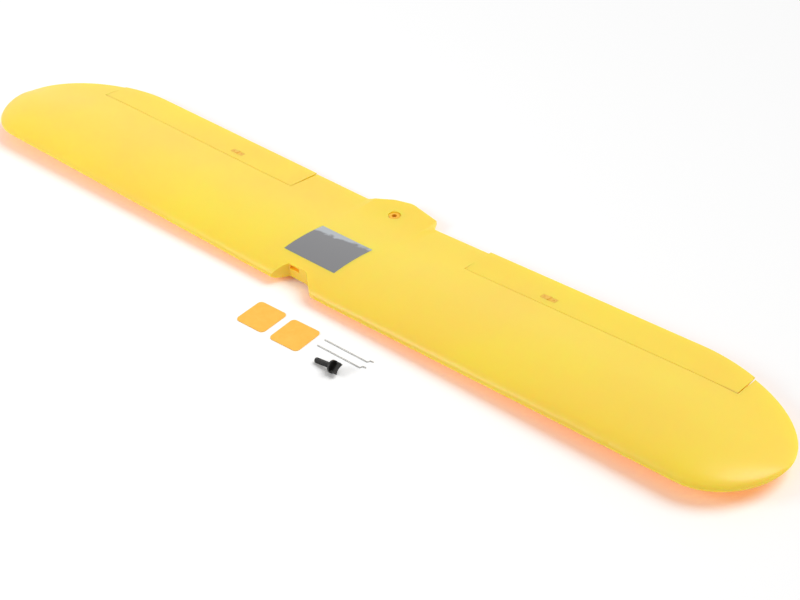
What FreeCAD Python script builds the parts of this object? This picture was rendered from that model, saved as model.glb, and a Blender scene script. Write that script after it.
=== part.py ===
import FreeCAD, Part
import math
import os

import Sketcher
from FreeCAD import Placement, Rotation, Vector

# One-piece foam wing of a high-wing model aeroplane, with its loose servo covers, pushrods and
# wing screw lying in front of it.  Millimetres.  +X runs along the span to the right tip, +Y
# aft to the trailing edge, +Z up.  The origin is under the middle of the centre section, at
# half chord, on the flat face of the fuselage key that the wing rests on.

DRIVING_SIZES = {
    # planform
    "span": 1200,
    "chord": 198,
    "centre_half_width": 64,
    "dihedral_angle": 1.17,
    "tip_nose_start": 525,
    "tip_tail_start": 435,
    "tip_nose_power": 1.93,
    "tip_tail_power": 1.87,
    "tip_peak_share": 0.444,
    # section
    "section_height": 21.8,
    "nose_height": 6.2,
    "tail_thickness": 1.6,
    # fuselage key under the centre
    "key_depth": 6,
    "key_root": 1,
    "key_width": 76,
    "key_length": 108,
    "key_front": 44,
    "key_draft": 2,
    # notch in the leading edge
    "notch_depth": 20.4,
    "notch_back_left": 17.2,
    "notch_front_left": 28,
    "notch_back_right": 11,
    "notch_front_right": 34.5,
    "notch_left_radius": 1.5,
    "notch_right_radius": 12,
    "notch_lip_radius": 26,
    "notch_lip_lead": 0.2,
    "slot_width": 15,
    "slot_inset": 0.6,
    "slot_height": 5.5,
    "slot_depth": 14,
    "slot_drop": 2.4,
    # pad of the wing bolt in the trailing edge
    "pad_flat_left": 44,
    "pad_flat_right": 50,
    "pad_ramp_width": 12,
    "pad_ramp_sink": 0.2,
    "pad_front": 106,
    "pad_thickness": 4.8,
    "pad_apex_offset": 2,
    "pad_apex_reach": 22.4,
    "pad_shoulder_offset": 22,
    "pad_shoulder_reach": 16,
    "pad_left_root": 50,
    "pad_corner_offset": 49.5,
    "pad_corner_reach": 12,
    "pad_right_root": 56,
    "pad_blend_radius": 20,
    "pad_corner_radius": 2.5,
    "pad_right_root_radius": 6,
    "pad_left_root_radius": 30,
    "pad_overlap": 1,
    # skylight film
    "film_width": 80.8,
    "film_length": 66.4,
    "film_front": 36,
    "film_thickness": 0.35,
    # wing bolt seat
    "bolt_station": 187.2,
    "screw_radius": 3,
    "screw_clearance": 0.3,
    "seat_flange_radius": 6.6,
    "seat_recess_radius": 8.3,
    "seat_flange_thickness": 1.2,
    "seat_wall": 1.5,
    "seat_sink": 0.7,
    "seat_clearance": 0.2,
    "backplate_side": 24,
    "backplate_thickness": 1.2,
    "plate_clearance": 0.05,
    # ailerons
    "hinge_station": 150,
    "hinge_drop": 2.1,
    "hinge_gap_ahead": 0.9,
    "hinge_gap_behind": 0.2,
    "hinge_bead_radius": 0.7,
    "hinge_web": 0.7,
    "hinge_clearance": 0.05,
    "aileron_inner_end": 142,
    "aileron_outer_end": 505.7,
    "aileron_end_gap": 1.2,
    "aileron_bevel_angle": 28,
    "right_aileron_trim_angle": 3.5,
    "left_aileron_trim_angle": 1.5,
    # control horn and its top clip
    "horn_span_station": 254,
    "horn_chord_station": 163.8,
    "horn_base_width": 20,
    "horn_base_length": 8,
    "horn_base_thickness": 1.4,
    "horn_height": 8.2,
    "horn_blade": 1.8,
    "horn_root_length": 8,
    "horn_tip_length": 4,
    "horn_sweep": 7,
    "horn_chamfer": 1,
    "horn_hole_radius": 0.7,
    "horn_hole_inset": 2,
    "prong_side": 2.2,
    "prong_spacing": 13,
    "prong_clearance": 0.05,
    "prong_sink": 0.3,
    "clip_width": 20,
    "clip_length": 7,
    "clip_thickness": 1,
    "clip_clearance": 0.4,
    "clip_ridge_width": 2.2,
    "clip_ridge_height": 0.9,
    # spars
    "spar_radius": 3,
    "spar_bore_radius": 2,
    "spar_station": 59,
    "spar_outer_end": 430,
    "spar_cover": 1,
    "spar_clearance": 0.15,
    "joiner_height": 8,
    "joiner_width": 8,
    "joiner_pin_length": 30,
    "joiner_end_gap": 0.5,
    "joiner_pin_clearance": 0.05,
    # servo pockets
    "servo_chord_station": 98,
    "servo_length": 24,
    "servo_width": 13,
    "servo_pocket_depth": 12.5,
    "cover_side": 42.4,
    "cover_thickness": 1,
    "cover_corner": 5.5,
    "cover_clearance": 0.4,
    "cover_seat_lip": 0.2,
    "lead_channel_width": 5,
    "lead_channel_depth": 4.5,
    # strut mounts
    "strut_span_station": 318,
    "strut_chord_station": 76,
    "strut_base_length": 30,
    "strut_base_width": 13,
    "strut_base_thickness": 1.8,
    "strut_base_corner": 3,
    "strut_lug_thickness": 3,
    "strut_lug_length": 8,
    "strut_lug_drop": 7.5,
    "strut_lug_chamfer": 2,
    "strut_hole_radius": 1.1,
    "strut_eye_inset": 2.9,
    "strut_screw_spacing": 21,
    "strut_screw_radius": 1,
    "strut_screw_clearance": 0.05,
    "strut_screw_length": 8,
    "strut_screw_head_radius": 2,
    "strut_screw_head_height": 1.2,
    # pushrods
    "rod_radius": 0.6,
    "rod_length": 63,
    "rod_jog": 3.6,
    "rod_hook": 4.2,
    "rod_bend_radius": 1.1,
    # wing screw
    "screw_length": 25.8,
    "screw_collar_radius": 7.5,
    "screw_collar_height": 2.6,
    "screw_grip_half_width": 6.5,
    "screw_grip_height": 7.6,
    "screw_grip_thickness": 4.8,
    "screw_saddle_radius": 12.6,
    "screw_saddle_depth": 1.8,
    "screw_recess_rim": 1.4,
    "screw_recess_depth": 1.2,
    "screw_point": 0.8,
    # how far cutting shapes run past the solid they cut
    "run_out": 5,
    # places of the loose pieces on the surface in front of the leading edge
    "cover_one_across": 7.3,
    "cover_two_across": 60.6,
    "cover_ahead": 52,
    "cover_one_angle": 1.8,
    "cover_two_angle": 2.5,
    "rod_across": 92.3,
    "rod_one_ahead": 36.7,
    "rod_two_ahead": 48.9,
    "rod_angle": 1,
    "screw_across": 110.7,
    "screw_ahead": 70.5,
    "screw_angle": -1.4,
    "screw_roll_angle": 121,
}

# Upper line of the section: share of the chord, share of the section height.
UPPER_LINE = ((0.02, 0.56), (0.09, 0.84), (0.28, 1.0), (0.52, 0.79), (0.76, 0.37))
# Lower line behind the nose: share of the chord, share of the nose height.
LOWER_NOSE = (0.035, 0.22)
LOWER_FLAT_START = 0.16
# The tip's sections stand at even turns of a quadrant that stops just short of the very tip.
TIP_SECTIONS = 14
TIP_ANGLE = 88.2
TIP_DEGREE = 3
# The pad's sunken sides follow the upper line through this many even steps.
PAD_STATIONS = 6

doc = FreeCAD.newDocument("ModelWing")
sheet = doc.addObject("Spreadsheet::Sheet", "Sizes")
for row, (alias, value) in enumerate(DRIVING_SIZES.items(), start=1):
    sheet.set(f"A{row}", alias.replace("_", " "))
    sheet.set(f"B{row}", str(value))
    sheet.setAlias(f"B{row}", alias)
doc.recompute()


def cell(alias):
    """Value of a driving size, read back from the sheet."""
    return float(sheet.get(alias))


# ---------------------------------------------------------------- derived places

NOSE = -cell("chord") / 2
TAIL = cell("chord") / 2
DATUM = cell("key_depth")
RUN_OUT = cell("run_out")
HALF_SPAN = cell("span") / 2
DIHEDRAL = math.radians(cell("dihedral_angle"))
RIGHT_PANEL = (
    Placement(
        Vector(cell("centre_half_width"), 0, DATUM), Rotation(Vector(0, 1, 0), -cell("dihedral_angle"))
    )
    * Placement(Vector(-cell("centre_half_width"), 0, -DATUM), Rotation())
)


def bind(obj, **expressions):
    """Binds properties of a feature to cells of the sheet."""
    for name, expression in expressions.items():
        obj.setExpression(name, expression)
    return obj


def at(x, y, z, axis=Vector(0, 0, 1), angle=0):
    """Placement in the wing's own frame."""
    return Placement(Vector(x, y, z), Rotation(axis, angle))


def on_panel(x, y, z, axis=Vector(0, 0, 1), angle=0):
    """Placement on the right outer panel, given as if the panel lay flat."""
    return RIGHT_PANEL * at(x, y, z, axis, angle)


def box(name, length, width, height, place):
    part = doc.addObject("Part::Box", name)
    bind(part, Length=length, Width=width, Height=height)
    part.Placement = place
    return part


def cylinder(name, radius, height, place):
    part = doc.addObject("Part::Cylinder", name)
    bind(part, Radius=radius, Height=height)
    part.Placement = place
    return part


def fuse(name, *shapes):
    part = doc.addObject("Part::MultiFuse", name)
    part.Shapes = list(shapes)
    return part


def cut(name, base, tool):
    part = doc.addObject("Part::Cut", name)
    part.Base = base
    part.Tool = tool
    return part


def common(name, base, tool):
    part = doc.addObject("Part::Common", name)
    part.Base = base
    part.Tool = tool
    return part


def mirrored(name, source):
    """Left-hand twin of a right-hand part."""
    part = doc.addObject("Part::Mirroring", name)
    part.Source = source
    part.Base = Vector(0, 0, 0)
    part.Normal = Vector(1, 0, 0)
    return part


def freeform(name, shape):
    part = doc.addObject("Part::Feature", name)
    part.Shape = shape
    return part


def rounded_outline(corners):
    """Closed wire through corners given as (x, y, radius), each corner an arc of its radius."""
    edges = []
    ends = []
    count = len(corners)
    for i, (x, y, radius) in enumerate(corners):
        here = Vector(x, y, 0)
        before = Vector(*corners[i - 1][:2], 0) - here
        after = Vector(*corners[(i + 1) % count][:2], 0) - here
        before.normalize()
        after.normalize()
        if radius == 0:
            ends.append((here, here, None))
            continue
        half_angle = before.getAngle(after) / 2
        reach = radius / math.tan(half_angle)
        bisector = before + after
        bisector.normalize()
        middle = here + bisector * (radius / math.sin(half_angle) - radius)
        ends.append((here + before * reach, here + after * reach, middle))
    for i, (start, end, middle) in enumerate(ends):
        if middle is not None:
            edges.append(Part.Arc(start, middle, end).toShape())
        edges.append(Part.makeLine(end, ends[(i + 1) % count][0]))
    return Part.Wire(edges)


def smooth_curve(points, leaving, arriving):
    """Curve through points with given directions at its two ends."""
    lengths = [0.0]
    for before, after in zip(points, points[1:]):
        lengths.append(lengths[-1] + before.distanceToPoint(after))
    curve = Part.BSplineCurve()
    curve.interpolate(
        Points=points,
        Parameters=lengths,
        InitialTangent=leaving.normalize(),
        FinalTangent=arriving.normalize(),
        Scale=False,
    )
    return curve


def slab(outline, low, high):
    """Upright solid over a plan outline."""
    face = Part.Face(outline)
    face.translate(Vector(0, 0, low))
    return face.extrude(Vector(0, 0, high - low))


# ---------------------------------------------------------------- foam blank

def section_curves(scale=1.0):
    """Upper line, nose underside and flat underside, with the nose at y = 0 and the flat at z = 0."""
    chord = cell("chord") * scale
    height = cell("section_height") * scale
    nose = Vector(0, 0, cell("nose_height") * scale)
    tail = Vector(0, chord, cell("tail_thickness") * scale)
    points = [nose] + [Vector(0, y * chord, z * height) for y, z in UPPER_LINE] + [tail]
    upper = smooth_curve(points, Vector(0, 0, 1), tail - points[-2])
    flat_start = Vector(0, LOWER_FLAT_START * chord, 0)
    lower_y, lower_z = LOWER_NOSE
    lower_points = [nose, Vector(0, lower_y * chord, lower_z * nose.z), flat_start]
    lower = smooth_curve(lower_points, Vector(0, 0, -1), Vector(0, 1, 0))
    return upper, lower, flat_start, tail


def section_wire(x, nose_y, tail_y, rise):
    """Section between two points of the planform, standing at span station x."""
    scale = (tail_y - nose_y) / cell("chord")
    upper, lower, flat_start, tail = section_curves(scale)
    tail_foot = Vector(0, tail.y, 0)
    wire = Part.Wire([
        upper.toShape(),
        Part.makeLine(tail, tail_foot),
        Part.makeLine(tail_foot, flat_start),
        lower.toShape(),
    ])
    # the parting line runs straight from the nose height to the foot of the tail
    parting_z = cell("nose_height") * (1 - (nose_y - NOSE) / cell("chord"))
    wire.translate(Vector(x, nose_y, DATUM + rise + parting_z - cell("nose_height") * scale))
    return wire


def tip_edge(x):
    """Leading and trailing edge at span station x: superelliptic quadrants outboard."""
    peak = NOSE + cell("tip_peak_share") * cell("chord")

    def quadrant(start, power):
        share = max(0.0, (x - start) / (HALF_SPAN - start))
        return (1 - share ** power) ** (1 / power)

    nose_y = peak - (peak - NOSE) * quadrant(cell("tip_nose_start"), cell("tip_nose_power"))
    tail_y = peak + (TAIL - peak) * quadrant(cell("tip_tail_start"), cell("tip_tail_power"))
    return nose_y, tail_y


def panel_rise(x):
    return (x - cell("centre_half_width")) * math.tan(DIHEDRAL)


def upper_line(y):
    """Point and direction of the upper line, y aft of the leading edge."""
    upper = section_curves()[0]
    low, high = upper.FirstParameter, upper.LastParameter
    for _ in range(40):
        middle = (low + high) / 2
        if upper.value(middle).y < y:
            low = middle
        else:
            high = middle
    return upper.value(low), upper.tangent(low)[0]


def upper_height(y):
    """Height of the upper line over the flat underside, y aft of the leading edge."""
    return upper_line(y)[0].z


def foam_blank():
    inner = cell("centre_half_width")
    centre_face = Part.Face(section_wire(-inner, NOSE, TAIL, 0))
    centre = centre_face.extrude(Vector(2 * inner, 0, 0))
    full_end = cell("tip_tail_start")
    panel = Part.makeLoft(
        [section_wire(inner, NOSE, TAIL, 0), section_wire(full_end, NOSE, TAIL, panel_rise(full_end))],
        True,
        True,
    )
    shares = [math.sin(math.radians(TIP_ANGLE * i / TIP_SECTIONS)) for i in range(TIP_SECTIONS + 1)]
    stations = [full_end + (HALF_SPAN - full_end) * share for share in shares]
    tip_wires = [section_wire(x, *tip_edge(x), panel_rise(x)) for x in stations]
    tip = Part.makeLoft(tip_wires, True, False, False, TIP_DEGREE)
    right = [panel, tip]
    left = [solid.mirror(Vector(0, 0, 0), Vector(1, 0, 0)) for solid in right]
    return centre.multiFuse(right + left).removeSplitter()


blank = freeform("foam_blank", foam_blank())

# ---------------------------------------------------------------- bolt pad in the trailing edge

def pad_side(x, crown, back):
    """Outline of the pad at one span station: its crown, then straight to back, and down."""
    corners = [back, Vector(0, back.y, -RUN_OUT), Vector(0, crown.StartPoint.y, -RUN_OUT)]
    corners.append(crown.StartPoint)
    edges = [crown.toShape(), Part.makeLine(crown.EndPoint, back)]
    edges.extend(Part.makeLine(start, end) for start, end in zip(corners, corners[1:]))
    outline = Part.Wire(edges)
    outline.translate(Vector(x, NOSE, DATUM))
    return outline


def bolt_pad():
    """Pad that thickens the rear of the centre section and bulges aft of the trailing edge."""
    front, chord = cell("pad_front"), cell("chord")
    root = TAIL - cell("pad_overlap")
    flat_left, flat_right = cell("pad_flat_left"), cell("pad_flat_right")
    left, right = flat_left + cell("pad_ramp_width"), flat_right + cell("pad_ramp_width")
    blend_radius = cell("pad_blend_radius")
    plan = rounded_outline([
        (-left, NOSE + front, 0),
        (right, NOSE + front, 0),
        (right, root, 0),
        (cell("pad_right_root"), root, cell("pad_right_root_radius")),
        (cell("pad_corner_offset"), TAIL + cell("pad_corner_reach"), cell("pad_corner_radius")),
        (cell("pad_apex_offset"), TAIL + cell("pad_apex_reach"), blend_radius),
        (-cell("pad_shoulder_offset"), TAIL + cell("pad_shoulder_reach"), blend_radius),
        (-cell("pad_left_root"), root, cell("pad_left_root_radius")),
        (-left, root, 0),
    ])
    aft = chord + cell("pad_apex_reach") + RUN_OUT
    # over the bolt the pad has its own crown; at its two sides it sinks into the wing
    start, leaving = upper_line(front)
    knee = Vector(0, cell("bolt_station"), cell("pad_thickness"))
    crown = smooth_curve([start, knee], Vector(leaving), Vector(0, 1, 0))
    sink = cell("pad_ramp_sink")
    stations = [front + (chord - front) * i / PAD_STATIONS for i in range(PAD_STATIONS + 1)]
    sunk = [Vector(0, y, upper_height(y) - sink) for y in stations]
    arriving = sunk[-1] - sunk[-2]
    fall = arriving.z / arriving.y
    side = smooth_curve(sunk, Vector(leaving), Vector(arriving))
    flat_back = Vector(0, aft, knee.z)
    side_back = Vector(0, aft, sunk[-1].z + fall * (aft - chord))
    inner_face = Part.Face(pad_side(-flat_left, crown, flat_back))
    middle = inner_face.extrude(Vector(flat_left + flat_right, 0, 0))
    ramps = [
        Part.makeLoft([pad_side(flat, crown, flat_back), pad_side(end, side, side_back)], True, True)
        for flat, end in ((-flat_left, -left), (flat_right, right))
    ]
    return middle.multiFuse(ramps).common(slab(plan, DATUM, DATUM + cell("section_height")))


pad = freeform("bolt_pad", bolt_pad())

# ---------------------------------------------------------------- key, notch and centre cuts

key = doc.addObject("Part::Wedge", "fuselage_key")
bind(
    key,
    Xmin="0", Zmin="0", Ymin="0",
    Xmax="Sizes.key_width", Zmax="Sizes.key_length", Ymax="Sizes.key_depth + Sizes.key_root",
    X2min="-Sizes.key_draft", X2max="Sizes.key_width + Sizes.key_draft",
    Z2min="-Sizes.key_draft", Z2max="Sizes.key_length + Sizes.key_draft",
)
key.Placement = Placement(
    Vector(-cell("key_width") / 2, NOSE + cell("key_front") + cell("key_length"), 0),
    Rotation(Vector(1, 0, 0), 90),
)

ahead = NOSE - RUN_OUT
# the lip blends into the leading edge from just ahead of it
notch_lip = cell("notch_lip_radius")
lip_y = NOSE - cell("notch_lip_lead")
notch = freeform("nose_notch", slab(
    rounded_outline([
        (-cell("notch_front_left") - RUN_OUT, ahead, 0),
        (cell("notch_front_right") + notch_lip, ahead, 0),
        (cell("notch_front_right") + notch_lip, lip_y, 0),
        (cell("notch_front_right"), lip_y, cell("notch_lip_radius")),
        (cell("notch_back_right"), NOSE + cell("notch_depth"), cell("notch_right_radius")),
        (-cell("notch_back_left"), NOSE + cell("notch_depth"), cell("notch_left_radius")),
        (-cell("notch_front_left"), NOSE, 0),
    ]),
    -RUN_OUT,
    DATUM + cell("section_height") + RUN_OUT,
))
slot_floor = DATUM + upper_height(cell("notch_depth")) - cell("slot_drop") - cell("slot_height")
slot = box(
    "lead_slot", "Sizes.slot_width", "Sizes.slot_depth + Sizes.run_out", "Sizes.slot_height",
    at(-cell("notch_back_left") + cell("slot_inset"), NOSE + cell("notch_depth") - RUN_OUT, slot_floor),
)
film_place = at(-cell("film_width") / 2, NOSE + cell("film_front"), DATUM + RUN_OUT)
film_region = box("film_region", "Sizes.film_width", "Sizes.film_length", "Sizes.section_height", film_place)
film_floor = freeform("film_floor", blank.Shape.copy())
film_floor.Placement = at(0, 0, -cell("film_thickness"))
film = cut("skylight_film", common("film_slab", blank, film_region), film_floor)

bolt_y = NOSE + cell("bolt_station")
pad_top = DATUM + cell("pad_thickness")
seat_recess = cylinder(
    "seat_recess", "Sizes.seat_recess_radius",
    "Sizes.seat_flange_thickness + Sizes.seat_sink + Sizes.run_out",
    at(0, bolt_y, pad_top - cell("seat_flange_thickness") - cell("seat_sink")),
)
seat_shaft = cylinder(
    "seat_shaft", "Sizes.screw_radius + Sizes.screw_clearance + Sizes.seat_wall + Sizes.seat_clearance",
    "Sizes.pad_thickness + 2 * Sizes.run_out", at(0, bolt_y, DATUM - RUN_OUT),
)
plate_half = cell("backplate_side") / 2 + cell("seat_clearance")
plate_recess = box(
    "backplate_recess", "Sizes.backplate_side + 2 * Sizes.seat_clearance",
    "Sizes.backplate_side + 2 * Sizes.seat_clearance", "Sizes.backplate_thickness + Sizes.run_out",
    at(-plate_half, bolt_y - plate_half, DATUM - RUN_OUT),
)

# ---------------------------------------------------------------- ailerons and their hinges

hinge_y = NOSE + cell("hinge_station")
hinge_z = DATUM + upper_height(cell("hinge_station")) - cell("hinge_drop")
bay_height = "Sizes.section_height + Sizes.key_depth + 4 * Sizes.run_out"
bay = box(
    "aileron_bay", "Sizes.aileron_outer_end - Sizes.aileron_inner_end",
    "Sizes.chord - Sizes.hinge_station + Sizes.hinge_gap_ahead + Sizes.run_out", bay_height,
    on_panel(cell("aileron_inner_end"), hinge_y - cell("hinge_gap_ahead"), -RUN_OUT),
)
blade_region = box(
    "aileron_region", "Sizes.aileron_outer_end - Sizes.aileron_inner_end - 2 * Sizes.aileron_end_gap",
    "Sizes.chord - Sizes.hinge_station + Sizes.run_out", bay_height,
    on_panel(
        cell("aileron_inner_end") + cell("aileron_end_gap"), hinge_y + cell("hinge_gap_behind"), -RUN_OUT
    ),
)


def bevel_wedge():
    """Prism that clears the aileron's front face below the hinge."""
    front = hinge_y + cell("hinge_gap_behind")
    top = hinge_z - cell("hinge_bead_radius")
    drop = top - DATUM + RUN_OUT
    back = front + drop * math.tan(math.radians(cell("aileron_bevel_angle")))
    start = cell("aileron_inner_end")
    corners = [
        Vector(start, front - RUN_OUT, top),
        Vector(start, front, top),
        Vector(start, back, top - drop),
        Vector(start, front - RUN_OUT, top - drop),
    ]
    face = Part.Face(Part.makePolygon(corners + corners[:1]))
    return face.extrude(Vector(cell("aileron_outer_end") - start, 0, 0))


bevel = freeform("aileron_bevel", bevel_wedge())
bevel.Placement = RIGHT_PANEL
ALONG = Rotation(Vector(0, 1, 0), 90)


def bead(name, radius):
    """Round bar along the hinge line."""
    part = cylinder(name, radius, "Sizes.aileron_outer_end - Sizes.aileron_inner_end", Placement())
    part.Placement = RIGHT_PANEL * Placement(Vector(cell("aileron_inner_end"), hinge_y, hinge_z), ALONG)
    return part


hinge_bead = bead("hinge_bead", "Sizes.hinge_bead_radius")
hinge_groove = bead("hinge_groove", "Sizes.hinge_bead_radius + Sizes.hinge_clearance")
hinge_web = box(
    "hinge_web", "Sizes.aileron_outer_end - Sizes.aileron_inner_end",
    "Sizes.hinge_gap_ahead", "Sizes.hinge_web",
    on_panel(cell("aileron_inner_end"), hinge_y - cell("hinge_gap_ahead"), hinge_z - cell("hinge_web") / 2),
)
right_hinge = fuse("right_hinge", hinge_bead, hinge_web)

# ---------------------------------------------------------------- sketch helpers

def plane_of(body, role):
    for feature in body.Origin.OriginFeatures:
        if feature.Role == role:
            return feature
    raise ValueError(role)


def new_body(name):
    return doc.addObject("PartDesign::Body", name)


def sketch_on(body, role, name, offset=None):
    sketch = body.newObject("Sketcher::SketchObject", name)
    sketch.AttachmentSupport = [(plane_of(body, role), "")]
    sketch.MapMode = "FlatFace"
    if offset is not None:
        sketch.setExpression("AttachmentOffset.Base.z", offset)
    return sketch


def dimension(sketch, kind, *where, expression):
    """Adds a dimension and binds it to the sheet."""
    index = sketch.addConstraint(Sketcher.Constraint(kind, *where, 1.0))
    sketch.setExpression(f"Constraints[{index}]", expression)


def centred_rectangle(sketch, width, height):
    """Rectangle about the sketch's origin."""
    w, h = 5.0, 5.0
    corners = [Vector(-w, -h, 0), Vector(w, -h, 0), Vector(w, h, 0), Vector(-w, h, 0)]
    first = sketch.GeometryCount
    for i in range(4):
        sketch.addGeometry(Part.LineSegment(corners[i], corners[(i + 1) % 4]), False)
    for i in range(4):
        sketch.addConstraint(Sketcher.Constraint("Coincident", first + i, 2, first + (i + 1) % 4, 1))
    for i in (0, 2):
        sketch.addConstraint(Sketcher.Constraint("Horizontal", first + i))
        sketch.addConstraint(Sketcher.Constraint("Vertical", first + i + 1))
    sketch.addConstraint(Sketcher.Constraint("Symmetric", first, 1, first + 1, 2, -1, 1))
    dimension(sketch, "DistanceX", first, 1, first, 2, expression=width)
    dimension(sketch, "DistanceY", first + 1, 1, first + 1, 2, expression=height)


def circle_at(sketch, radius, across="0", up="0"):
    """Circle whose centre lies at the given distances from the sketch's origin."""
    centre = Vector(sheet_value(across), sheet_value(up), 0)
    index = sketch.addGeometry(Part.Circle(centre, Vector(0, 0, 1), sheet_value(radius)), False)
    dimension(sketch, "Radius", index, expression=radius)
    pin(sketch, "DistanceX", index, centre.x, across, spot=3)
    pin(sketch, "DistanceY", index, centre.y, up, spot=3)


def chain(sketch, points):
    """Closed chain of lines through points given as pairs of expressions, each point dimensioned."""
    first = sketch.GeometryCount
    count = len(points)
    spots = [Vector(sheet_value(x), sheet_value(y), 0) for x, y in points]
    for i in range(count):
        sketch.addGeometry(Part.LineSegment(spots[i], spots[(i + 1) % count]), False)
    for i in range(count):
        sketch.addConstraint(Sketcher.Constraint("Coincident", first + i, 2, first + (i + 1) % count, 1))
    for i, (x, y) in enumerate(points):
        pin(sketch, "DistanceX", first + i, spots[i].x, x)
        pin(sketch, "DistanceY", first + i, spots[i].y, y)


def sheet_value(expression):
    """Value of an expression of the sheet's cells."""
    return float(doc.getObject("Sizes").evalExpression(expression.replace("Sizes.", "")))


def pin(sketch, kind, geometry, value, expression, spot=1):
    """Holds a point of a line or circle at a distance from the sketch's origin, whatever its sign."""
    if abs(value) < 1e-9:
        axis = -2 if kind == "DistanceX" else -1
        sketch.addConstraint(Sketcher.Constraint("PointOnObject", geometry, spot, axis))
    elif value > 0:
        dimension(sketch, kind, -1, 1, geometry, spot, expression=expression)
    else:
        dimension(sketch, kind, geometry, spot, -1, 1, expression=f"-({expression})")


def pad_up(body, name, sketch, length, midplane=False, reverse=False):
    feature = body.newObject("PartDesign::Pad", name)
    feature.Profile = sketch
    feature.setExpression("Length", length)
    feature.Midplane = midplane
    feature.Reversed = reverse
    return feature


def pocket_through(body, name, sketch):
    feature = body.newObject("PartDesign::Pocket", name)
    feature.Profile = sketch
    feature.Type = "ThroughAll"
    feature.Midplane = True
    return feature


def revolve(body, name, sketch):
    feature = body.newObject("PartDesign::Revolution", name)
    feature.Profile = sketch
    feature.ReferenceAxis = (sketch, ["V_Axis"])
    feature.Angle = 360
    return feature


# ---------------------------------------------------------------- control horn and its clip

horn_y = NOSE + cell("horn_chord_station")
horn_rear_top = upper_height(cell("horn_chord_station") + cell("clip_length") / 2)
clip_slope = math.degrees(math.atan(
    upper_height(cell("horn_chord_station")) - upper_height(cell("horn_chord_station") + 1)
))
clip_floor = upper_height(cell("horn_chord_station")) - cell("clip_thickness")
# the prongs stand up to the rear edge of the clip's plate, the lowest point of its top
PRONG_LENGTH = f"{horn_rear_top:.3f} - Sizes.prong_sink"


def square_at(sketch, side, across):
    """Square centred at a distance along the sketch's first axis."""
    half = f"({side}) / 2"
    chain(sketch, [
        (f"{across} - {half}", f"-{half}"),
        (f"{across} + {half}", f"-{half}"),
        (f"{across} + {half}", half),
        (f"{across} - {half}", half),
    ])


def control_horn():
    """Base plate under the aileron, swept blade with a hole, and two prongs up into the clip."""
    body = new_body("neutral_control_horn")
    plate = sketch_on(body, "XY_Plane", "horn_plate_sketch")
    centred_rectangle(plate, "Sizes.horn_base_width", "Sizes.horn_base_length")
    pad_up(body, "horn_plate", plate, "Sizes.horn_base_thickness", reverse=True)
    blade = sketch_on(body, "YZ_Plane", "horn_blade_sketch")
    chain(blade, [
        ("Sizes.horn_root_length / 2", "-Sizes.horn_base_thickness / 2"),
        ("-Sizes.horn_root_length / 2", "-Sizes.horn_base_thickness / 2"),
        ("-Sizes.horn_sweep - Sizes.horn_tip_length / 2", "Sizes.horn_chamfer - Sizes.horn_height"),
        ("Sizes.horn_chamfer - Sizes.horn_sweep - Sizes.horn_tip_length / 2", "-Sizes.horn_height"),
        ("Sizes.horn_tip_length / 2 - Sizes.horn_chamfer - Sizes.horn_sweep", "-Sizes.horn_height"),
        ("Sizes.horn_tip_length / 2 - Sizes.horn_sweep", "Sizes.horn_chamfer - Sizes.horn_height"),
    ])
    pad_up(body, "horn_blade", blade, "Sizes.horn_blade", midplane=True)
    holes = sketch_on(body, "YZ_Plane", "horn_hole_sketch")
    hole_up = "Sizes.horn_hole_inset - Sizes.horn_height"
    circle_at(holes, "Sizes.horn_hole_radius", "-Sizes.horn_sweep", hole_up)
    pocket_through(body, "horn_hole", holes)
    for side, sign in (("outer", ""), ("inner", "-")):
        prong = sketch_on(body, "XY_Plane", f"horn_{side}_prong_sketch")
        square_at(prong, "Sizes.prong_side", f"{sign}Sizes.prong_spacing / 2")
        pad_up(body, f"horn_{side}_prong", prong, PRONG_LENGTH)
    body.Placement = on_panel(cell("horn_span_station"), horn_y, DATUM)
    return body


def prong_slots(name, grow, low, high):
    """Two square bars round the prongs, to cut their way through the aileron and the clip."""
    bars = []
    for sign in (-1, 1):
        centre = cell("horn_span_station") + sign * cell("prong_spacing") / 2
        reach = cell("prong_side") / 2 + grow
        side = f"Sizes.prong_side + {2 * grow}"
        place = on_panel(centre - reach, horn_y - reach, DATUM + low)
        bars.append(box(f"{name}_{'outer' if sign > 0 else 'inner'}", side, side, f"{high - low}", place))
    return bars


clip_place = on_panel(cell("horn_span_station"), horn_y, DATUM + clip_floor, Vector(1, 0, 0), -clip_slope)


def clip_box(name, width, length, height, across, along, up):
    """Box set square to the sloping top of the aileron."""
    part = box(name, width, length, height, Placement())
    part.Placement = clip_place * at(across, along, up)
    return part


clip_plate = clip_box(
    "clip_plate", "Sizes.clip_width", "Sizes.clip_length", "Sizes.clip_thickness",
    -cell("clip_width") / 2, -cell("clip_length") / 2, 0,
)
clip_ridge = clip_box(
    "clip_ridge", "Sizes.clip_ridge_width", "Sizes.clip_length",
    "Sizes.clip_thickness + Sizes.clip_ridge_height",
    -cell("clip_ridge_width") / 2, -cell("clip_length") / 2, 0,
)
clip_grow = cell("clip_clearance")
clip_recess = clip_box(
    "clip_recess", "Sizes.clip_width + 2 * Sizes.clip_clearance",
    "Sizes.clip_length + 2 * Sizes.clip_clearance", "Sizes.clip_thickness + Sizes.run_out",
    -cell("clip_width") / 2 - clip_grow, -cell("clip_length") / 2 - clip_grow, 0,
)
prong_fit = cell("prong_clearance")
neutral_horn = control_horn()
clip_body = fuse("clip_body", clip_plate, clip_ridge)
clip_slots = fuse("clip_slots", *prong_slots("clip_slot", prong_fit, 0, cell("section_height")))
neutral_clip = cut("neutral_horn_clip", clip_body, clip_slots)

aileron_blank = common("aileron_blank", blank, blade_region)
aileron_cuts = fuse(
    "aileron_cuts", bevel, hinge_groove, clip_recess,
    *prong_slots("aileron_slot", prong_fit, -RUN_OUT, cell("section_height")),
)
neutral_aileron = cut("neutral_aileron", aileron_blank, aileron_cuts)

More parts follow.
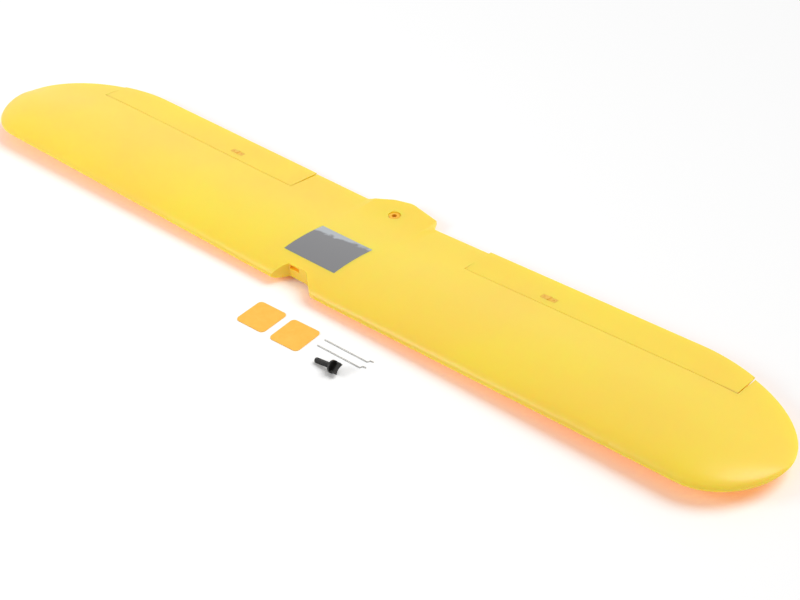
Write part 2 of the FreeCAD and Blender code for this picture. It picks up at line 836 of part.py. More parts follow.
# ---------------------------------------------------------------- spars and their joiner

spar_y = NOSE + cell("spar_station")
spar_z = DATUM + cell("spar_cover") + cell("spar_radius")
inner = cell("centre_half_width")


def along_panel(name, radius, length, start):
    """Cylinder along the right panel's spar line from span station start."""
    part = cylinder(name, radius, length, Placement())
    part.Placement = RIGHT_PANEL * Placement(Vector(start, spar_y, spar_z), ALONG)
    return part


spar_length = "Sizes.spar_outer_end - Sizes.centre_half_width"
bore_length = spar_length + " + 2 * Sizes.run_out"
right_spar = cut(
    "right_spar",
    along_panel("spar_tube", "Sizes.spar_radius", spar_length, inner),
    along_panel("spar_bore", "Sizes.spar_bore_radius", bore_length, inner - RUN_OUT),
)
joiner_bar = box(
    "joiner_bar", "2 * (Sizes.centre_half_width - Sizes.joiner_end_gap)", "Sizes.joiner_width",
    "Sizes.joiner_height",
    at(cell("joiner_end_gap") - inner, spar_y - cell("joiner_width") / 2, DATUM + cell("spar_cover")),
)
joiner_pin_radius = "Sizes.spar_bore_radius - Sizes.joiner_pin_clearance"
right_pin = along_panel(
    "joiner_pin", joiner_pin_radius, "Sizes.joiner_pin_length + Sizes.joiner_height / 2",
    inner - cell("joiner_height") / 2,
)
joiner = fuse("spar_joiner", joiner_bar, right_pin, mirrored("joiner_left_pin", right_pin))

spar_fit = cell("spar_clearance")
groove_length = spar_length + " + 2 * Sizes.joiner_end_gap"
groove_start = inner - cell("joiner_end_gap")
spar_groove_round = along_panel(
    "spar_groove_round", "Sizes.spar_radius + Sizes.spar_clearance", groove_length, groove_start,
)
spar_groove = box(
    "spar_groove", groove_length, "2 * (Sizes.spar_radius + Sizes.spar_clearance)",
    "Sizes.spar_cover + Sizes.spar_radius + Sizes.run_out",
    on_panel(groove_start, spar_y - cell("spar_radius") - spar_fit, DATUM - RUN_OUT),
)
joiner_groove = box(
    "joiner_groove", "2 * (Sizes.centre_half_width + Sizes.spar_clearance)",
    "Sizes.joiner_width + 2 * Sizes.spar_clearance",
    "Sizes.spar_cover + Sizes.joiner_height + Sizes.spar_clearance + Sizes.run_out",
    at(-inner - spar_fit, spar_y - cell("joiner_width") / 2 - spar_fit, DATUM - RUN_OUT),
)

# ---------------------------------------------------------------- servo pockets

servo_x = cell("horn_span_station")
servo_y = NOSE + cell("servo_chord_station")
seat_depth = cell("cover_thickness") + cell("cover_seat_lip")
seat_half = cell("cover_side") / 2 + cell("cover_clearance")


def cover_seat():
    """Shallow seat with rounded corners that a servo cover drops into."""
    body = new_body("cover_seat")
    outline = sketch_on(body, "XY_Plane", "cover_seat_sketch")
    side = "Sizes.cover_side + 2 * Sizes.cover_clearance"
    centred_rectangle(outline, side, side)
    pad_up(body, "cover_seat_pad", outline, "Sizes.cover_thickness + Sizes.cover_seat_lip + Sizes.run_out")
    round_upright_edges(body, "cover_seat_corners", "Sizes.cover_corner + Sizes.cover_clearance")
    body.Placement = on_panel(servo_x, servo_y, DATUM - RUN_OUT)
    return body


def round_upright_edges(body, name, radius):
    """Rounds the edges of the last feature that stand along Z."""
    doc.recompute()
    solid = body.Tip
    upright = []
    for i, edge in enumerate(solid.Shape.Edges, start=1):
        direction = edge.tangentAt(edge.FirstParameter)
        if abs(direction.z) > 0.999:
            upright.append(f"Edge{i}")
    feature = body.newObject("PartDesign::Fillet", name)
    feature.Base = (solid, upright)
    feature.setExpression("Radius", radius)
    return feature


servo_pocket = box(
    "servo_pocket", "Sizes.servo_width", "Sizes.servo_length", "Sizes.servo_pocket_depth + Sizes.run_out",
    on_panel(servo_x - cell("servo_width") / 2, servo_y - cell("servo_length") / 2, DATUM - RUN_OUT),
)
lead_channel = box(
    "lead_channel", "Sizes.horn_span_station - Sizes.key_width / 2", "Sizes.lead_channel_width",
    "Sizes.lead_channel_depth + Sizes.run_out",
    on_panel(cell("key_width") / 2, servo_y - cell("lead_channel_width") / 2, DATUM - RUN_OUT),
)

# ---------------------------------------------------------------- strut mounts

strut_x = cell("strut_span_station")
strut_y = NOSE + cell("strut_chord_station")


def strut_mount():
    """Base plate under the spar line with a drilled lug for the wing strut."""
    body = new_body("right_strut_mount")
    base = sketch_on(body, "XY_Plane", "strut_base_sketch")
    centred_rectangle(base, "Sizes.strut_base_length", "Sizes.strut_base_width")
    pad_up(body, "strut_base", base, "Sizes.strut_base_thickness", reverse=True)
    round_upright_edges(body, "strut_base_corners", "Sizes.strut_base_corner")
    lug = sketch_on(body, "YZ_Plane", "strut_lug_sketch")
    chain(lug, [
        ("-Sizes.strut_lug_length / 2", "-Sizes.strut_base_thickness / 2"),
        ("Sizes.strut_lug_length / 2", "-Sizes.strut_base_thickness / 2"),
        ("Sizes.strut_lug_length / 2", "Sizes.strut_lug_chamfer - Sizes.strut_lug_drop"),
        ("Sizes.strut_lug_length / 2 - Sizes.strut_lug_chamfer", "-Sizes.strut_lug_drop"),
        ("Sizes.strut_lug_chamfer - Sizes.strut_lug_length / 2", "-Sizes.strut_lug_drop"),
        ("-Sizes.strut_lug_length / 2", "Sizes.strut_lug_chamfer - Sizes.strut_lug_drop"),
    ])
    pad_up(body, "strut_lug", lug, "Sizes.strut_lug_thickness", midplane=True)
    eye = sketch_on(body, "YZ_Plane", "strut_eye_sketch")
    circle_at(eye, "Sizes.strut_hole_radius", "0", "Sizes.strut_eye_inset - Sizes.strut_lug_drop")
    pocket_through(body, "strut_eye", eye)
    for side, sign in (("outer", ""), ("inner", "-")):
        hole = sketch_on(body, "XY_Plane", f"strut_{side}_hole_sketch")
        circle_at(hole, "Sizes.strut_screw_radius", f"{sign}Sizes.strut_screw_spacing / 2")
        pocket_through(body, f"strut_{side}_hole", hole)
    body.Placement = on_panel(strut_x, strut_y, DATUM)
    return body


def strut_screw(name, offset):
    """Self-tapping screw with a flat round head, driven up through the base plate."""
    head_top = DATUM - cell("strut_base_thickness")
    across = strut_x + offset
    head = cylinder(
        f"{name}_head", "Sizes.strut_screw_head_radius", "Sizes.strut_screw_head_height",
        on_panel(across, strut_y, head_top - cell("strut_screw_head_height")),
    )
    shank = cylinder(
        f"{name}_shank", "Sizes.strut_screw_radius - Sizes.strut_screw_clearance",
        "Sizes.strut_screw_length", on_panel(across, strut_y, head_top),
    )
    return fuse(name, head, shank)


screw_offset = cell("strut_screw_spacing") / 2
right_mount = strut_mount()
right_screws = doc.addObject("Part::Compound", "right_strut_screws")
right_screws.Links = [
    strut_screw("outer_strut_screw", screw_offset),
    strut_screw("inner_strut_screw", -screw_offset),
]
screw_holes = [
    cylinder(
        f"{side}_screw_hole", "Sizes.strut_screw_radius", "Sizes.strut_screw_length + Sizes.run_out",
        on_panel(strut_x + sign * screw_offset, strut_y, DATUM - RUN_OUT),
    )
    for side, sign in (("outer", 1), ("inner", -1))
]

# ---------------------------------------------------------------- wing core

right_tools = fuse(
    "right_cuts", bay, cover_seat(), servo_pocket, lead_channel,
    spar_groove, spar_groove_round, *screw_holes,
)
left_tools = mirrored("left_cuts", right_tools)
grooved = cut("grooved_blank", blank, joiner_groove)
solid_foam = fuse("solid_foam", grooved, pad, key)
core_tools = fuse(
    "core_cuts", right_tools, left_tools, notch, slot, film, seat_recess, seat_shaft, plate_recess,
)
wing_core = cut("wing_core", solid_foam, core_tools)

# ---------------------------------------------------------------- bolt seat and backplate

def bolt_seat():
    """Flanged bush that the wing screw passes through."""
    body = new_body("bolt_seat")
    profile = sketch_on(body, "XZ_Plane", "bolt_seat_sketch")
    bore = "Sizes.screw_radius + Sizes.screw_clearance"
    hub = bore + " + Sizes.seat_wall"
    chain(profile, [
        (bore, "Sizes.seat_flange_thickness"),
        (bore, "Sizes.seat_flange_thickness + Sizes.seat_sink - Sizes.pad_thickness"),
        (hub, "Sizes.seat_flange_thickness + Sizes.seat_sink - Sizes.pad_thickness"),
        (hub, "0"),
        ("Sizes.seat_flange_radius", "0"),
        ("Sizes.seat_flange_radius", "Sizes.seat_flange_thickness"),
    ])
    revolve(body, "bolt_seat_turn", profile)
    body.Placement = at(0, bolt_y, pad_top - cell("seat_sink") - cell("seat_flange_thickness"))
    return body


def bolt_backplate():
    """Square load plate let into the underside round the bush."""
    body = new_body("bolt_backplate")
    outline = sketch_on(body, "XY_Plane", "backplate_sketch")
    centred_rectangle(outline, "Sizes.backplate_side", "Sizes.backplate_side")
    pad_up(body, "backplate_pad", outline, "Sizes.backplate_thickness")
    hole = sketch_on(body, "XY_Plane", "backplate_hole_sketch")
    circle_at(hole, "Sizes.screw_radius + Sizes.screw_clearance + Sizes.seat_wall + Sizes.plate_clearance")
    pocket_through(body, "backplate_hole", hole)
    body.Placement = at(0, bolt_y, DATUM)
    return body


# ---------------------------------------------------------------- loose pieces

def servo_cover(name, across, turn):
    """Thin square cover with rounded corners, lying flat."""
    body = new_body(name)
    outline = sketch_on(body, "XY_Plane", f"{name}_sketch")
    centred_rectangle(outline, "Sizes.cover_side", "Sizes.cover_side")
    pad_up(body, f"{name}_pad", outline, "Sizes.cover_thickness")
    round_upright_edges(body, f"{name}_corners", "Sizes.cover_corner")
    body.Placement = at(cell(across), NOSE - cell("cover_ahead"), 0, angle=cell(turn))
    return body


def rod_spine():
    """Centre line of a pushrod: a straight run, a sideways jog and a short hook."""
    radius = cell("rod_bend_radius")
    corners = [
        Vector(0, 0, 0),
        Vector(cell("rod_length"), 0, 0),
        Vector(cell("rod_length") + 0.4 * cell("rod_jog"), cell("rod_jog"), 0),
        Vector(cell("rod_length") + 0.4 * cell("rod_jog") + cell("rod_hook"), cell("rod_jog"), 0),
    ]
    edges = []
    start = corners[0]
    for before, here, after in zip(corners, corners[1:], corners[2:]):
        back = (before - here).normalize()
        on = (after - here).normalize()
        half_angle = back.getAngle(on) / 2
        reach = radius / math.tan(half_angle)
        middle = here + (back + on).normalize() * (radius / math.sin(half_angle) - radius)
        edges.append(Part.makeLine(start, here + back * reach))
        edges.append(Part.Arc(here + back * reach, middle, here + on * reach).toShape())
        start = here + on * reach
    edges.append(Part.makeLine(start, corners[-1]))
    return Part.Wire(edges)


def pushrod(name, ahead):
    """Steel wire with a Z-bend, lying flat."""
    spine = freeform(f"{name}_spine", rod_spine())
    ring = doc.addObject("Part::Circle", f"{name}_ring")
    bind(ring, Radius="Sizes.rod_radius")
    ring.Placement = Placement(Vector(0, 0, 0), ALONG)
    rod = doc.addObject("Part::Sweep", f"{name}_sweep")
    rod.Sections = [ring]
    rod.Spine = (spine, [f"Edge{i + 1}" for i in range(len(spine.Shape.Edges))])
    rod.Solid = True
    rod.Transition = "Right corner"
    whole = doc.addObject("Part::Compound", name)
    whole.Links = [rod]
    whole.Placement = at(cell("rod_across"), NOSE - cell(ahead), cell("rod_radius"), angle=cell("rod_angle"))
    return whole


def wing_screw():
    """Thumbscrew: turned shank and collar, flat grip with a saddle end and recessed faces."""
    body = new_body("wing_screw")
    turned = sketch_on(body, "XZ_Plane", "screw_turned_sketch")
    chain(turned, [
        ("0", "-Sizes.screw_length"),
        ("Sizes.screw_radius - Sizes.screw_point", "-Sizes.screw_length"),
        ("Sizes.screw_radius", "Sizes.screw_point - Sizes.screw_length"),
        ("Sizes.screw_radius", "0"),
        ("Sizes.screw_collar_radius", "0"),
        ("Sizes.screw_collar_radius", "Sizes.screw_collar_height"),
        ("0", "Sizes.screw_collar_height"),
    ])
    revolve(body, "screw_turned", turned)
    grip = sketch_on(body, "XZ_Plane", "screw_grip_sketch")
    across = "Sizes.screw_grip_half_width"
    low = "Sizes.screw_collar_height / 2"
    high = "Sizes.screw_collar_height + Sizes.screw_grip_height"
    chain(grip, [(f"-{across}", low), (across, low), (across, high), (f"-{across}", high)])
    pad_up(body, "screw_grip", grip, "Sizes.screw_grip_thickness", midplane=True)
    saddle = sketch_on(body, "XZ_Plane", "screw_saddle_sketch")
    saddle_rise = f"{high} + Sizes.screw_saddle_radius - Sizes.screw_saddle_depth"
    circle_at(saddle, "Sizes.screw_saddle_radius", "0", saddle_rise)
    pocket_through(body, "screw_saddle", saddle)
    # both faces of the grip are recessed inside a rim, which leaves a thinner web
    recess = sketch_on(body, "XZ_Plane", "screw_recess_sketch")
    inside = "(Sizes.screw_grip_half_width - Sizes.screw_recess_rim)"
    floor = "Sizes.screw_collar_height"
    roof = f"{high} - Sizes.screw_saddle_depth - Sizes.screw_recess_rim"
    chain(recess, [(f"-{inside}", floor), (inside, floor), (inside, roof), (f"-{inside}", roof)])
    pocket_through(body, "screw_recess", recess)
    web = sketch_on(body, "XZ_Plane", "screw_web_sketch")
    middle = "(Sizes.screw_grip_half_width - Sizes.screw_recess_rim / 2)"
    top = f"{high} - Sizes.screw_saddle_depth - Sizes.screw_recess_rim / 2"
    chain(web, [(f"-{middle}", low), (middle, low), (middle, top), (f"-{middle}", top)])
    web_thickness = "Sizes.screw_grip_thickness - 2 * Sizes.screw_recess_depth"
    pad_up(body, "screw_web", web, web_thickness, midplane=True)
    step = cell("screw_collar_radius") - cell("screw_radius")
    lean = math.degrees(math.atan(step / cell("screw_length")))
    turn = Rotation(Vector(0, 0, 1), cell("screw_angle"))
    lying = turn * Rotation(Vector(0, 1, 0), 90 - lean) * Rotation(Vector(0, 0, 1), cell("screw_roll_angle"))
    tip = Vector(cell("screw_across"), NOSE - cell("screw_ahead"), 0)
    rise = cell("screw_radius") * math.cos(math.radians(lean))
    body.Placement = Placement(tip + Vector(0, 0, rise), Rotation()) * Placement(
        lying.multVec(Vector(0, 0, cell("screw_length"))), lying
    )
    return body


# ---------------------------------------------------------------- the assembly

def trimmed(name, source, side):
    """A piece of an aileron, turned with it about the hinge so that its trailing edge stands up."""
    line = Vector(math.cos(DIHEDRAL), 0, side * math.sin(DIHEDRAL))
    start = RIGHT_PANEL.multVec(Vector(cell("aileron_inner_end"), hinge_y, hinge_z))
    start.x *= side
    trim = cell("right_aileron_trim_angle") if side > 0 else cell("left_aileron_trim_angle")
    whole = doc.addObject("Part::Compound", name)
    whole.Links = [source]
    whole.Placement = Placement(Vector(0, 0, 0), Rotation(line, trim), start)
    return whole


moving = {"aileron": neutral_aileron, "control_horn": neutral_horn, "horn_clip": neutral_clip}
ailerons = [trimmed(f"right_{name}", source, 1) for name, source in moving.items()]
ailerons += [
    trimmed(f"left_{name}", mirrored(f"mirrored_{name}", source), -1) for name, source in moving.items()
]
left_of = {
    "left_hinge": right_hinge,
    "left_spar": right_spar,
    "left_strut_mount": right_mount,
    "left_strut_screws": right_screws,
}
nodes = [
    wing_core, film, bolt_seat(), bolt_backplate(),
    right_hinge, right_spar, joiner, right_mount, right_screws,
    servo_cover("servo_cover_1", "cover_one_across", "cover_one_angle"),
    servo_cover("servo_cover_2", "cover_two_across", "cover_two_angle"),
    pushrod("pushrod_1", "rod_one_ahead"),
    pushrod("pushrod_2", "rod_two_ahead"),
    wing_screw(),
]
nodes += ailerons
nodes += [mirrored(name, source) for name, source in left_of.items()]
doc.recompute()

for obj in doc.Objects:
    if "Invalid" in obj.State or "Error" in obj.State:
        raise RuntimeError(f"{obj.Name} failed to compute: {obj.State}")
for node in nodes:
    shape = node.Shape
    if shape.isNull() or not shape.isValid():
        raise RuntimeError(f"{node.Name} has no valid shape")

os.makedirs("parts", exist_ok=True)
for node in nodes:
    node.Label = node.Name
    node.Shape.exportStep(f"parts/{node.Label}.step")
    print(f"{node.Label}: {len(node.Shape.Solids)} solids, {node.Shape.Volume:.0f} mm3")
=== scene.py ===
import math

import bmesh
import bpy
from bpy.props import FloatProperty, FloatVectorProperty, IntProperty, PointerProperty
from mathutils import Matrix, Vector


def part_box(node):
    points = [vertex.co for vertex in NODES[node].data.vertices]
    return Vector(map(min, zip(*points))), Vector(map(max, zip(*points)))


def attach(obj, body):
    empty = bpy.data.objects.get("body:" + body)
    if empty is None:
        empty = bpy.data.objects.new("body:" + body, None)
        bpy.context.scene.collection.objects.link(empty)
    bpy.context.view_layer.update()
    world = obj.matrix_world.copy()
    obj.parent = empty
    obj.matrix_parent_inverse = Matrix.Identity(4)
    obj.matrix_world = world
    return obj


bl_info = {
    "name": "Foam wing",
    "version": (1, 0, 0),
    "blender": (4, 5, 0),
    "location": "3D View > Sidebar > Foam wing",
    "description": "Finishes a model aeroplane's foam wing and the loose pieces laid in front of it",
    "category": "Object",
}

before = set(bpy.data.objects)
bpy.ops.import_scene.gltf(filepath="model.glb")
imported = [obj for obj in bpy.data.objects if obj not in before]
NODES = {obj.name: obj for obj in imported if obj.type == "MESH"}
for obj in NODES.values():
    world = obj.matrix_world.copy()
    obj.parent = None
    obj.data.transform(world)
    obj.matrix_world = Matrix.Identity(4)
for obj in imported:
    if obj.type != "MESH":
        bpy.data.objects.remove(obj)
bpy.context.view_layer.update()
MM = 0.001
SIDES = ("right", "left")

# The wing screw lies on its tip and on the rim of its collar, its shank pointing this way.
SCREW_RADIUS = 3 * MM
SCREW_LENGTH = 25.8 * MM
COLLAR_RADIUS = 7.5 * MM
SCREW_LEAN = math.atan((COLLAR_RADIUS - SCREW_RADIUS) / SCREW_LENGTH)
SCREW_TURN = math.radians(-1.4)
SCREW_TIP = Vector((110.7 * MM, -169.5 * MM, SCREW_RADIUS * math.cos(SCREW_LEAN)))

# Half the width of the thread's ridge at its foot and at its crest, as shares of the pitch.
THREAD_FOOT_HALF = 0.42
THREAD_CREST_HALF = 0.08

# Refractive index of the foam's skin, the film and the moulded plastics.
POLYMER_IOR = 1.5

# Softboxes: the key stands for a distant one, so only its direction and its spread in degrees
# count. The fill stands near the wing's left half.
KEY_TOWARDS = (1.2, 1.9, 3.5)
KEY_SPREAD = 42
FILL_PLACE = (-1.0, -1.6, 1.1)
FILL_SIDE = 0.8
FLOOR_HALF_WIDTH = 30
FLOOR_DROP = 0.02 * MM


# ---------------------------------------------------------------- small helpers

def linear(hex_colour):
    """Turns an sRGB hex colour into the linear colour a shader reads."""
    channels = [int(hex_colour[i:i + 2], 16) / 255 for i in (1, 3, 5)]
    return tuple(c / 12.92 if c <= 0.04045 else ((c + 0.055) / 1.055) ** 2.4 for c in channels) + (1.0,)


def add(tree, kind, links=None, **settings):
    """Adds a shader node, sets its properties, then sets or links its inputs by name or index."""
    node = tree.nodes.new(kind)
    for name, value in settings.items():
        setattr(node, name, value)
    for name, value in (links or {}).items():
        socket = node.inputs[name]
        if isinstance(value, bpy.types.NodeSocket):
            tree.links.new(value, socket)
        else:
            socket.default_value = value
    return node


def material(name):
    """New node material, its tree and its Principled shader."""
    made = bpy.data.materials.new(name)
    made.use_nodes = True
    tree = made.node_tree
    tree.nodes.clear()
    shader = add(tree, "ShaderNodeBsdfPrincipled")
    add(tree, "ShaderNodeOutputMaterial", {"Surface": shader.outputs[0]})
    return made, tree, shader


def object_place(tree, stretch=(1, 1, 1)):
    """Object coordinates in metres, stretched along each axis."""
    place = add(tree, "ShaderNodeTexCoord")
    moved = add(tree, "ShaderNodeMapping", {"Vector": place.outputs["Object"], "Scale": stretch})
    return moved.outputs[0]


def ramp(tree, value, stops):
    """Colour ramp through (position, hex colour) stops."""
    node = add(tree, "ShaderNodeValToRGB", {0: value})
    points = node.color_ramp.elements
    for i, (position, colour) in enumerate(stops):
        point = points[i] if i < 2 else points.new(position)
        point.position = position
        point.color = linear(colour)
    return node.outputs["Color"]


def noise(tree, place, size, detail, distortion=0.0):
    """Noise whose blotches are about one size across."""
    return add(tree, "ShaderNodeTexNoise", {
        "Vector": place, "Scale": 1 / size, "Detail": detail, "Distortion": distortion,
    }).outputs[0]


def onto_range(tree, value, low, high):
    """Stretches a value from 0 to 1 onto a range."""
    return add(tree, "ShaderNodeMapRange", {0: value, 3: low, 4: high}).outputs[0]


def weigh(tree, value, factor, base):
    """A value times a factor, plus another value."""
    node = add(tree, "ShaderNodeMath", {0: value, 1: factor, 2: base}, operation="MULTIPLY_ADD")
    return node.outputs[0]


def relief(tree, shader, height, strength, depth):
    """Roughens a shader's surface by a height."""
    bump = add(tree, "ShaderNodeBump", {"Strength": strength, "Distance": depth, "Height": height})
    tree.links.new(bump.outputs[0], shader.inputs["Normal"])


def surface(tree, factor, first, second):
    """Makes the material's surface a mix of two shaders."""
    mixed = add(tree, "ShaderNodeMixShader", {0: factor, 1: first.outputs[0], 2: second.outputs[0]})
    tree.links.new(mixed.outputs[0], tree.nodes["Material Output"].inputs["Surface"])


def dress(node_name, finish):
    """Gives a CAD node one material."""
    slots = NODES[node_name].data.materials
    slots.clear()
    slots.append(finish)


def piece(name, mesh, finish, body, smooth_angle=40):
    """Makes an object of a finished bmesh, which rides on a body."""
    bmesh.ops.recalc_face_normals(mesh, faces=mesh.faces)
    data = bpy.data.meshes.new(name)
    mesh.to_mesh(data)
    mesh.free()
    data.materials.append(finish)
    made = bpy.data.objects.new(name, data)
    bpy.context.scene.collection.objects.link(made)
    data.shade_smooth()
    data.set_sharp_from_angle(angle=math.radians(smooth_angle))
    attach(made, body)
    return made


# ---------------------------------------------------------------- materials

def bead_foam(name, colour, warm, glow, bead):
    """Moulded bead foam: beads fused against a polished tool, so the skin is smooth, softly satin
    and faintly pebbled, and light sinks a little way in."""
    made, tree, shader = material(name)
    place = object_place(tree)
    drift = noise(tree, place, 140 * MM, 2.0)
    shade = ramp(tree, drift, [(0.35, colour), (0.68, warm)])
    cells = add(
        tree, "ShaderNodeTexVoronoi", {"Vector": place, "Scale": 1 / bead, "Randomness": 1.0},
        feature="DISTANCE_TO_EDGE",
    )
    # the joints between the beads are a little warmer and lie a little lower
    joints = add(tree, "ShaderNodeMapRange", {0: cells.outputs[0], 2: 0.12}).outputs[0]
    share = onto_range(tree, joints, 0.9, 1.0)
    tint = add(tree, "ShaderNodeMix", {0: share, 6: linear(warm), 7: shade}, data_type="RGBA")
    tree.links.new(tint.outputs[2], shader.inputs["Base Color"])
    skin = noise(tree, place, 1.2 * MM, 3.0)
    relief(tree, shader, weigh(tree, joints, 0.35, skin), 0.12, 0.12 * MM)
    tree.links.new(onto_range(tree, skin, 0.32, 0.42), shader.inputs["Roughness"])
    shader.inputs["IOR"].default_value = POLYMER_IOR
    shader.inputs["Subsurface Weight"].default_value = 0.8
    shader.inputs["Subsurface Radius"].default_value = (1.0, 0.55, 0.2)
    shader.inputs["Subsurface Scale"].default_value = 8 * MM
    # lamps shine through, and each skin keeps back most of the blue and green and some of the red
    path = add(tree, "ShaderNodeLightPath")
    through = add(tree, "ShaderNodeBsdfTransparent", {0: linear(glow)})
    surface(tree, path.outputs["Is Shadow Ray"], shader, through)
    return made


def smoked_film(name, colour, pale, aft_edge):
    """Smoke-grey polyester film ironed onto foam: a smooth glossy sheet with shallow ripples,
    paler along its aft edge, where a reflection of the bright surroundings is painted into the colour."""
    made, tree, shader = material(name)
    place = object_place(tree)
    ripple = noise(tree, place, 26 * MM, 1.0)
    ragged = noise(tree, place, 13 * MM, 3.0)
    across = add(tree, "ShaderNodeSeparateXYZ", {0: place})
    # the painted reflection is a strip wider at the left, and its edge wanders
    slant = weigh(tree, across.outputs["X"], -0.14, across.outputs["Y"])
    reach = weigh(tree, ragged, 22 * MM, slant)
    painted_reflection_band = add(tree, "ShaderNodeMapRange", {
        0: reach, 1: aft_edge + 1 * MM, 2: aft_edge + 5 * MM, 3: 0.0, 4: 0.8,
    })
    mixed = add(
        tree, "ShaderNodeMix", {0: painted_reflection_band.outputs[0], 6: linear(colour), 7: linear(pale)},
        data_type="RGBA",
    )
    tree.links.new(mixed.outputs[2], shader.inputs["Base Color"])
    relief(tree, shader, ripple, 0.25, 0.5 * MM)
    shader.inputs["Roughness"].default_value = 0.22
    shader.inputs["IOR"].default_value = POLYMER_IOR
    return made


def moulded_plastic(name, colour, edge, roughness, grain=0.4 * MM, specular=0.5):
    """Injection-moulded nylon or ABS: one colour through, a fine spark-eroded grain and slightly
    uneven gloss, with faint paler flow marks."""
    made, tree, shader = material(name)
    place = object_place(tree)
    flow = noise(tree, place, 9 * MM, 2.0, 0.6)
    tree.links.new(ramp(tree, flow, [(0.35, colour), (0.75, edge)]), shader.inputs["Base Color"])
    fine = noise(tree, place, grain, 2.0)
    relief(tree, shader, fine, 0.15, 0.05 * MM)
    gloss = onto_range(tree, fine, roughness - 0.06, roughness + 0.06)
    tree.links.new(gloss, shader.inputs["Roughness"])
    shader.inputs["IOR"].default_value = POLYMER_IOR
    shader.inputs["Specular IOR Level"].default_value = specular
    return made


def drawn_steel(name, colour, dull, along, roughness):
    """Drawn or plated steel: metallic, with fine die lines along one axis and cloudy plating."""
    made, tree, shader = material(name)
    stretch = tuple(1 / (30 * MM) if i == along else 1 / (0.25 * MM) for i in range(3))
    lines = noise(tree, object_place(tree, stretch), 1.0, 2.0)
    tree.links.new(ramp(tree, lines, [(0.3, dull), (0.7, colour)]), shader.inputs["Base Color"])
    gloss = onto_range(tree, lines, roughness - 0.08, roughness + 0.08)
    tree.links.new(gloss, shader.inputs["Roughness"])
    shader.inputs["Metallic"].default_value = 1.0
    return made


def pultruded_carbon(name, colour, fibre):
    """Pultruded carbon tube: near-black resin over straight fibres, with thin lengthwise glints."""
    made, tree, shader = material(name)
    place = object_place(tree, (1 / (60 * MM), 1 / (0.3 * MM), 1 / (0.3 * MM)))
    strands = noise(tree, place, 1.0, 3.0)
    tree.links.new(ramp(tree, strands, [(0.4, colour), (0.8, fibre)]), shader.inputs["Base Color"])
    tree.links.new(onto_range(tree, strands, 0.25, 0.45), shader.inputs["Roughness"])
    relief(tree, shader, strands, 0.2, 0.04 * MM)
    shader.inputs["Coat Weight"].default_value = 0.3
    return made


def birch_ply(name, early, late):
    """Birch plywood, sanded: pale wood with narrow darker growth lines along the grain."""
    made, tree, shader = material(name)
    place = object_place(tree, (1 / (14 * MM), 1 / (1.6 * MM), 1 / (1.6 * MM)))
    grain = noise(tree, place, 1.0, 5.0, 0.5)
    tree.links.new(ramp(tree, grain, [(0.35, late), (0.62, early)]), shader.inputs["Base Color"])
    relief(tree, shader, grain, 0.3, 0.06 * MM)
    shader.inputs["Roughness"].default_value = 0.6
    return made


def matt_paper(name, colour):
    """Matt white backdrop paper without any shine, open to sight from below."""
    made, tree, shader = material(name)
    shader.inputs["Base Color"].default_value = linear(colour)
    shader.inputs["Roughness"].default_value = 1.0
    shader.inputs["Specular IOR Level"].default_value = 0.0
    face = add(tree, "ShaderNodeNewGeometry")
    clear = add(tree, "ShaderNodeBsdfTransparent", {0: linear("#FFFFFF")})
    surface(tree, face.outputs["Backfacing"], shader, clear)
    return made


# ---------------------------------------------------------------- settings

class FoamSettings(bpy.types.PropertyGroup):
    bead: FloatProperty(
        name="Bead size", description="Width of one fused bead in the foam's skin",
        default=3.0 * MM, min=0.5 * MM, max=8 * MM, unit="LENGTH",
    )


class ScrewSettings(bpy.types.PropertyGroup):
    thread_pitch: FloatProperty(
        name="Thread pitch", description="Distance between two turns of the wing screw's thread",
        default=1.0 * MM, min=0.5 * MM, max=2 * MM, unit="LENGTH",
    )
    thread_depth: FloatProperty(
        name="Thread depth", description="Depth of the wing screw's thread",
        default=0.24 * MM, min=0.05 * MM, max=0.3 * MM, unit="LENGTH",
    )
    thread_foot: FloatProperty(
        name="Thread foot", description="How deep the thread's foot lies in the wing screw's shank",
        default=0.1 * MM, min=0.02 * MM, max=0.5 * MM, unit="LENGTH",
    )
    thread_start: FloatProperty(
        name="Thread start", description="Plain length between the screw's tip and its thread",
        default=1.4 * MM, min=0, max=5 * MM, unit="LENGTH",
    )
    thread_steps: IntProperty(
        name="Steps in a turn", description="Faces round one turn of the thread",
        default=32, min=8, max=96,
    )


class StageSettings(bpy.types.PropertyGroup):
    azimuth: FloatProperty(
        name="Azimuth", description="Camera's turn about the wing, from dead ahead",
        default=math.radians(42.312), subtype="ANGLE", unit="ROTATION",
    )
    elevation: FloatProperty(
        name="Elevation", description="Camera's height angle over the surface",
        default=math.radians(37.356), subtype="ANGLE", unit="ROTATION",
    )
    roll: FloatProperty(
        name="Roll", description="Camera's tilt about its own line of sight",
        default=math.radians(-2.119), subtype="ANGLE", unit="ROTATION",
    )
    distance: FloatProperty(
        name="Distance", description="Camera's distance from the point it looks at",
        default=1.67712, min=0.1, unit="LENGTH",
    )
    target: FloatVectorProperty(
        name="Target", description="Point the camera looks at",
        default=(114.644 * MM, -33.1 * MM, 6 * MM), subtype="XYZ", unit="LENGTH",
    )
    lens: FloatProperty(
        name="Lens", description="Focal length on a 36 mm sensor",
        default=65.72, min=10, max=300, subtype="DISTANCE_CAMERA",
    )
    key: FloatProperty(
        name="Key", description="Brightness that the softbox behind the wing gives a white floor",
        default=0.50, min=0, max=2,
    )
    fill: FloatProperty(
        name="Fill", description="Brightness that the softbox ahead of the wing gives a white floor",
        default=0.15, min=0, max=2,
    )
    sky: FloatProperty(
        name="Sky", description="Strength of the even white light from all round",
        default=0.40, min=0, max=2,
    )


# ---------------------------------------------------------------- pieces

